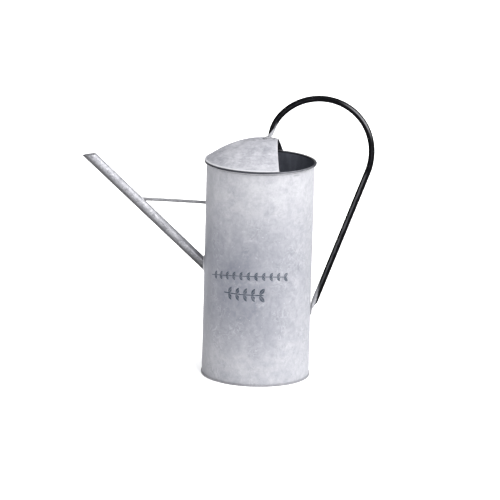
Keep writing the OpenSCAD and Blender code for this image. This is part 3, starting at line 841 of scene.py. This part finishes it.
    # and the last bit, across the hem's ends
    left = [k * nv for k in range(n_in - 1, nu - n_in + 1)]
    right = [k * nv + nv - 1 for k in range(n_in - 1, nu - n_in + 1)]
    f.append(tuple(left)); m.append(0)
    f.append(tuple(reversed(right))); m.append(0)
    o = make("hood_cover", v, f, [M_HOOD, M_IN], m, sharp=48, merge=2e-6)
    return piece(o, "zinc_hood", "hood")


# ------------------------------------------------------------------ handle
def hoop(a, d=0.0):
    if a >= EASE_A:
        return (HOOP_X + (HOOP_R + d) * cos(a), HOOP_Z + (HOOP_R + d) * sin(a))
    return (EASE_X + (EASE_R + d) * cos(a), EASE_Z + (EASE_R + d) * sin(a))


def crown(x, y=0.0):
    """Height of the visible hood, with its dents."""
    r = math.hypot(x, y)
    return dome(r) + press_dent(x, y) * max(0, min(1, (HOOD_R - r) / 12.0))


def build_handle():
    """One bent tube swept along its centre line, with sections that flatten into the two feet."""
    leg0 = Vector(hoop(-LEAN))
    ld = Vector((-sin(LEAN), -cos(LEAN)))
    hit = (leg0.x - BODY_R) / sin(LEAN)
    foot_z = leg0.y + ld.y * hit
    secs = []   # x, z, thickness in the plane, width across, squareness
    # the upper foot: a tab lying on the hood towards the spout, then the pinched tube rising from it
    for x, th, wd in ((3.3, 0.8, 5.4), (3.8, 1.3, 7.8), (5.0, 1.7, 9.6), (6.8, 2.2, 11.0), (8.6, 3.0, 11.4)):
        secs.append((x, crown(x) + th / 2 + 0.02, th, wd, 0.62))
    secs += [(10.5, 328.3, 4.2, 11.2, 0.70), (11.25, 329.9, 4.8, 10.8, 0.74), (11.75, 331.6, 5.7, 10.2, 0.80),
             (12.35, 333.3, 6.6, 9.5, 0.86), (13.1, 335.4, 7.3, 8.9, 0.93), (14.0, 338.0, 7.7, 8.5, 0.98)]
    n = 110
    a0 = rad(155.5)
    for k in range(n + 1):
        a = a0 + (-LEAN - a0) * k / n
        # the tube comes down a little inside the hoop's circle at its upper end
        inside = -0.21 - 0.85 * max(0, (a - rad(141)) / rad(14.5)) ** 1.5
        inside -= 0.09 * max(0, min(1, (rad(45) - a) / rad(30)))
        if a < rad(-5):
            inside *= max(0, (a + LEAN) / (LEAN - rad(5)))
        p = hoop(a, inside)
        t = max(0, min(1, (rad(-5) - a) / (LEAN - rad(5))))
        secs.append((p[0], p[1], 8.1 + 0.25 * min(1, k / 12) + 0.4 * t, 8.3, 1.0))
    run = hit - 17
    for k in range(1, 41):
        p = leg0 + ld * (run * k / 40)
        secs.append((p.x, p.y, 8.75, 8.3, 1.0))
    for back, th, wd, sq, push in ((15.2, 8.6, 8.5, 0.97, 0.0), (13.4, 8.2, 9.0, 0.93, 0.0)):
        p = leg0 + ld * (hit - back)
        secs.append((p.x + push, p.y, th, wd, sq))
    for x, z, th, wd, sq in ((3.9, 101.5, 7.3, 9.8, 0.86), (2.75, 98.4, 5.5, 10.6, 0.78), (1.75, 95.2, 3.6, 11.2, 0.70),
                             (1.20, 92.4, 2.3, 11.4, 0.64), (1.00, 90.0, 1.9, 11.4, 0.60), (0.92, 87.6, 1.8, 11.2, 0.60),
                             (0.86, 86.2, 1.7, 10.2, 0.60), (0.76, 85.3, 1.3, 8.2, 0.60), (0.66, 84.9, 0.9, 5.8, 0.60)):
        secs.append((BODY_R + x, z + (foot_z - 89.8), th, wd, sq))
    ns = 40
    rows = []
    for i, (x, z, th, wd, sq) in enumerate(secs):
        a, b = secs[max(0, i - 1)], secs[min(len(secs) - 1, i + 1)]
        t = Vector((b[0] - a[0], b[1] - a[1])).normalized()
        nrm = Vector((-t.y, t.x))
        row = []
        for k in range(ns):
            ph = 2 * pi * k / ns
            c, s = cos(ph), sin(ph)
            c = math.copysign(abs(c) ** sq, c)
            s = math.copysign(abs(s) ** sq, s)
            px, py, pz = x + nrm.x * th / 2 * c, wd / 2 * s, z + nrm.y * th / 2 * c
            # the feet lie on the wall and on the hood, and never go into them
            if z < 140:
                lim = sqrt(BODY_R * BODY_R - py * py) + 0.02
                px = max(px, lim)
            elif x < 30:
                pz = max(pz, crown(px, py) + 0.02)
            row.append((px, py, pz))
        rows.append(row)
    v, f, m = grid(rows, close_v=True)
    f.append(tuple(range(ns))[::-1])
    f.append(tuple(range((len(rows) - 1) * ns, len(rows) * ns)))
    o = make("hoop_handle", v, f, [M_BLACK], None, sharp=60)
    return piece(o, "black_enamel", "handle_tube")


def build_pads():
    """Solder that has run round the two feet."""
    def pad(name, place, ru, rv, h, seed, node):
        rows = []
        nr, na = 14, 72
        for i in range(nr + 1):
            rho = i / nr
            row = []
            for k in range(na):
                ph = 2 * pi * k / na
                wob = 1 + 0.10 * nz(3 * cos(ph), 3 * sin(ph), seed, 0.6, seed) + 0.05 * nz(9 * cos(ph), 9 * sin(ph), seed, 0.6, seed)
                u, w = ru * rho * wob * cos(ph), rv * rho * wob * sin(ph)
                hh = h * (1 - rho ** 3.2) * (1 + 0.25 * nz(u, w, seed, 0.35, seed)) if rho < 1 else -0.12
                row.append(tuple(place(u, w, hh)))
            rows.append(row)
        v, f, m = grid(rows, close_v=True)
        under = [tuple(place(ru * 1.0 * cos(2 * pi * k / na), rv * 1.0 * sin(2 * pi * k / na), -0.12)) for k in range(na)]
        f.append(tuple(range(nr * na, (nr + 1) * na)))
        return piece(make(name, v, f, [M_SOLDER], None, sharp=60, merge=2e-6), "solder", node)

    def on_wall(u, w, h):
        y, z = u, 90.2 + w
        x = sqrt(BODY_R ** 2 - y * y)
        return Vector((x, y, z)) + Vector((x, y, 0)).normalized() * h

    def on_hood(u, w, h):
        x, y = 10.0 + u, w
        r = math.hypot(x, y)
        s = dome_slope(r)
        nrm = Vector((-s * x / max(r, 1e-6), -s * y / max(r, 1e-6), 1)).normalized()
        return Vector((x, y, dome(r) + press_dent(x, y) * max(0, min(1, (HOOD_R - r) / 12.0)))) + nrm * h

    a = pad("solder_foot_wall", on_wall, 7.2, 6.8, 0.65, 2.3, "handle_foot_solder")
    b = pad("solder_foot_hood", on_hood, 7.4, 7.4, 1.25, 5.1, "handle_top_solder")
    return a, b


# ------------------------------------------------------------------ spout and brace
TIP_SLOPE = rad(8.3)


def spout_r(s):
    """The tube widens a very little towards the tip."""
    return 6.95 + 0.5 * max(0, min(1, s / 215.0))


def tip_s(r, ph, shift=0.0):
    """Where the line at angle ph and radius r meets the cut across the tip."""
    # the cut passes through the lowest line at TIP_X
    rl = spout_r(215)
    s_low = (-(TIP_X + 0.04) - BODY_R - rl * sin(SP_A)) / cos(SP_A)
    p0 = S0 + SD * s_low - SU * rl
    nrm = Vector((-sin(TIP_SLOPE), 0, cos(TIP_SLOPE)))
    off = (SU * cos(ph) + SV * sin(ph)) * r
    return (p0 + nrm * shift - S0 - off).dot(nrm) / SD.dot(nrm)


def build_spout():
    T = 0.5
    n, ns = 72, 120
    rows = []

    def ring(kind, u, lip=0.0):
        row = []
        for k in range(n):
            ph = 2 * pi * k / n
            d = SU * cos(ph) + SV * sin(ph)
            r0 = spout_r(200 * u)
            r = r0 if kind == "out" else r0 - T
            if lip:
                r = r0 - T / 2 + (T / 2) * (cos(lip))
            # root, just inside the wall
            s_root = wall_hit(S0, SD, d * r, IN_R - 1.1)
            s_tip = tip_s(r, ph, -0.25 + (0.25 * sin(lip) if lip else 0))
            s = s_root + (s_tip - s_root) * u
            x = S0 + SD * s
            if kind == "out" and not lip:
                seam = math.exp(-(((ph - pi) / rad(7)) ** 2)) * min(1, u / 0.03) * min(1, (1 - u) / 0.02)
                r = r + 0.22 * seam + 0.07 * nz(x.x, 6 * sin(ph), x.z, 1 / 24.0, 4.0) * min(1, (1 - u) / 0.05)
            row.append(tuple(x + d * r))
        return row
    for i in range(ns + 1):
        rows.append(ring("out", i / ns))
    for a in (30, 60, 90, 120, 150):
        rows.append(ring("out", 1.0, rad(a)))
    for i in range(ns, -1, -2):
        rows.append(ring("in", i / ns))
    n_out = ns + 6

    def mat(i, j):
        # the bore: bright zinc near the mouth, and painted shade deeper inside
        return 0 if i <= n_out else (2 if i < n_out + 16 else 1)
    v, f, m = grid(rows, close_u=True, close_v=True, mat=mat)
    o = make("spout_pipe", v, f, [M_SPOUT, M_IN, M_TIP], m, sharp=50)
    return piece(o, "zinc_spout", "spout_tube")


def collar(name, org, d, u, v, r0, along, out, hit, seed, slot, nodes, n=64, bulge=0.25, lump=0.18):
    """Solder run into the corner between a round bar and what it meets. hit(off) is the distance along d to that surface."""
    rows = []
    steps = 8
    for k in range(n):
        ph = 2 * pi * k / n
        w = 1 + lump * nz(3 * cos(ph), 3 * sin(ph), seed, 0.7, seed) + 0.5 * lump * nz(8 * cos(ph), 8 * sin(ph), seed, 0.7, seed)
        dirn = u * cos(ph) + v * sin(ph)
        s0, s2 = hit(dirn * r0), hit(dirn * (r0 + out * w))
        p0 = org + dirn * (r0 + 0.03) + d * (s0 + along * w)
        p1 = org + dirn * (r0 + 0.03) + d * (s0 + 0.02)
        p2 = org + dirn * (r0 + out * w) + d * (s2 + 0.01)
        mid = p1.lerp((p0 + p2) / 2, bulge)
        row = []
        for j in range(steps + 1):
            t = j / steps
            row.append(tuple(p0 * (1 - t) ** 2 + mid * 2 * t * (1 - t) + p2 * t * t))
        q2 = org + dirn * (r0 + out * w) + d * (s2 - 0.10)
        q0 = org + dirn * (r0 - 0.10) + d * (s0 - 0.10)
        q1 = org + dirn * (r0 - 0.10) + d * (s0 + along * w)
        rows.append(row + [tuple(q2), tuple(q0), tuple(q1)])
    vv, ff, mm = grid(rows, close_u=True, close_v=True)
    return piece(make(name, vv, ff, [M_SOLDER], None, sharp=55), slot, *nodes)


BD = Vector((-cos(BR_CLIMB), 0, sin(BR_CLIMB)))       # from the body to the spout
BU, BV = Vector((sin(BR_CLIMB), 0, cos(BR_CLIMB))), Vector((0, -1, 0))
B0 = Vector((-BODY_R, 0, BR_Z))


def spout_hit(off):
    """How far along BD from B0 + off the spout's outside is met."""
    def gap(s):
        p = B0 + off + BD * s - S0
        a = p.dot(SD)
        return (p - SD * a).length - spout_r(a)
    return solve(gap, 40, 92)


def build_brace():
    n, ns = 28, 60
    rows = []
    for i in range(ns + 1):
        u = i / ns
        row = []
        for k in range(n):
            ph = 2 * pi * k / n
            dirn = BU * cos(ph) + BV * sin(ph)
            r = BR_R * (1.10 + 0.03 * u)
            a0 = wall_hit(B0, BD, dirn * r, BODY_R - 0.15)
            a1 = spout_hit(dirn * r) + 0.12
            s = a0 + (a1 - a0) * u
            x = B0 + BD * s
            # drawn rod, slightly bowed and bruised
            bow = Vector((0, 0, 0.25 * sin(pi * u)))
            rr = r + 0.06 * nz(x.x, 4 * cos(ph), 4 * sin(ph), 1 / 7.0, 6.0)
            row.append(tuple(x + bow + dirn * rr))
        rows.append(row)
    v, f, m = grid(rows, close_v=True)
    f.append(tuple(range(n))[::-1])
    f.append(tuple(range(ns * n, (ns + 1) * n)))
    return piece(make("brace_bar", v, f, [M_BRACE], None, sharp=50), "brace_steel", "brace_rod")


def build_solders():
    collar("solder_spout_root", S0, SD, SU, SV, spout_r(0) + 0.02, 2.0, 2.0, lambda off: wall_hit(S0, SD, off, BODY_R + 0.02),
           1.7, "solder", ["spout_solder"], n=96, bulge=0.35)
    collar("solder_brace_body", B0, BD, BU, BV, BR_R, 1.3, 1.0, lambda off: wall_hit(B0, BD, off, BODY_R + 0.02),
           4.4, "solder", ["brace_body_solder"], bulge=0.5)
    # towards the body from the spout: turn the hit round
    end = B0 + BD * spout_hit(Vector((0, 0, 0)))
    base = spout_hit(Vector((0, 0, 0)))
    collar("solder_brace_spout", end, -BD, BU, BV, BR_R, 1.5, 0.9, lambda off: base - spout_hit(off),
           8.2, "solder", ["brace_spout_solder"], bulge=0.5)


build_body()
build_seam()
build_base()
build_hood()
build_handle()
build_pads()
build_spout()
build_brace()
build_solders()

# CAD nodes that stay as they are take their finish here
for name, mat in (("rim_wire", M_WIRE), ("hood_solder", M_SOLDER)):
    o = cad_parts[name]
    o.data.materials.clear()
    o.data.materials.append(mat)
    for p in o.data.polygons:
        p.material_index = 0
        p.use_smooth = True
    o.data.set_sharp_from_angle(angle=rad(45))


# ------------------------------------------------------------------ stage
def floor():
    me = bpy.data.meshes.new("floor")
    s = 40.0
    me.from_pydata([(-s, -s, 0), (s, -s, 0), (s, s, 0), (-s, s, 0)], [], [(0, 1, 2, 3)])
    m = Mat("floor")
    m.gain = 1.0
    n = m.noise(900, 2, 0.5)
    m.set(color=m.mix(n, (0.90, 0.90, 0.905), (0.91, 0.91, 0.91)), rough=0.85, spec=0.05)
    me.materials.append(m.m)
    o = bpy.data.objects.new("floor", me)
    bpy.context.scene.collection.objects.link(o)


def sun(name, az, el, strength, angle, color=(1, 1, 1)):
    """A soft distant light from azimuth az (0 is +X, -90 is the viewer's side) and elevation el."""
    d = bpy.data.lights.new(name, "SUN")
    d.energy, d.angle, d.color = strength, rad(angle), color
    o = bpy.data.objects.new(name, d)
    v = Vector((cos(rad(el)) * cos(rad(az)), cos(rad(el)) * sin(rad(az)), sin(rad(el))))
    o.rotation_mode = "QUATERNION"
    o.rotation_quaternion = v.to_track_quat("Z", "Y")
    o.location = v * 3
    bpy.context.scene.collection.objects.link(o)


floor()
sun("top_soft", -60, 76, 5.0, 80)
sun("key_right", -35, 33, 4.7, 72)
sun("fill_left", -150, 12, 0.28, 60)
w = bpy.data.worlds.new("studio")
w.use_nodes = True
w.node_tree.nodes["Background"].inputs[0].default_value = (0.96, 0.97, 1.0, 1)
w.node_tree.nodes["Background"].inputs[1].default_value = 0.26
bpy.context.scene.world = w
bpy.context.scene.view_settings.view_transform = "Standard"

# ------------------------------------------------------------------ camera, at the viewing angle of the reference
e, a, r = rad(13.652), rad(2.14), rad(1.487)
fwd = Vector((-sin(a) * cos(e), cos(a) * cos(e), -sin(e)))
right = Vector((cos(a), sin(a), 0))
up = Vector((-sin(a) * sin(e), cos(a) * sin(e), cos(e)))
cx = right * cos(r) + up * sin(r)
cy = -right * sin(r) + up * cos(r)
cam = bpy.data.cameras.new("camera")
cam.sensor_width, cam.lens = 36.0, 308.33
cam.clip_start, cam.clip_end = 0.1, 100.0
co = bpy.data.objects.new("camera", cam)
co.rotation_mode = "QUATERNION"
co.rotation_quaternion = Matrix((cx, cy, -fwd)).transposed().to_quaternion()
co.location = Vector((-0.01135, -0.00042, 0.17174)) - fwd * 5.7969
bpy.context.scene.collection.objects.link(co)
bpy.context.scene.camera = co
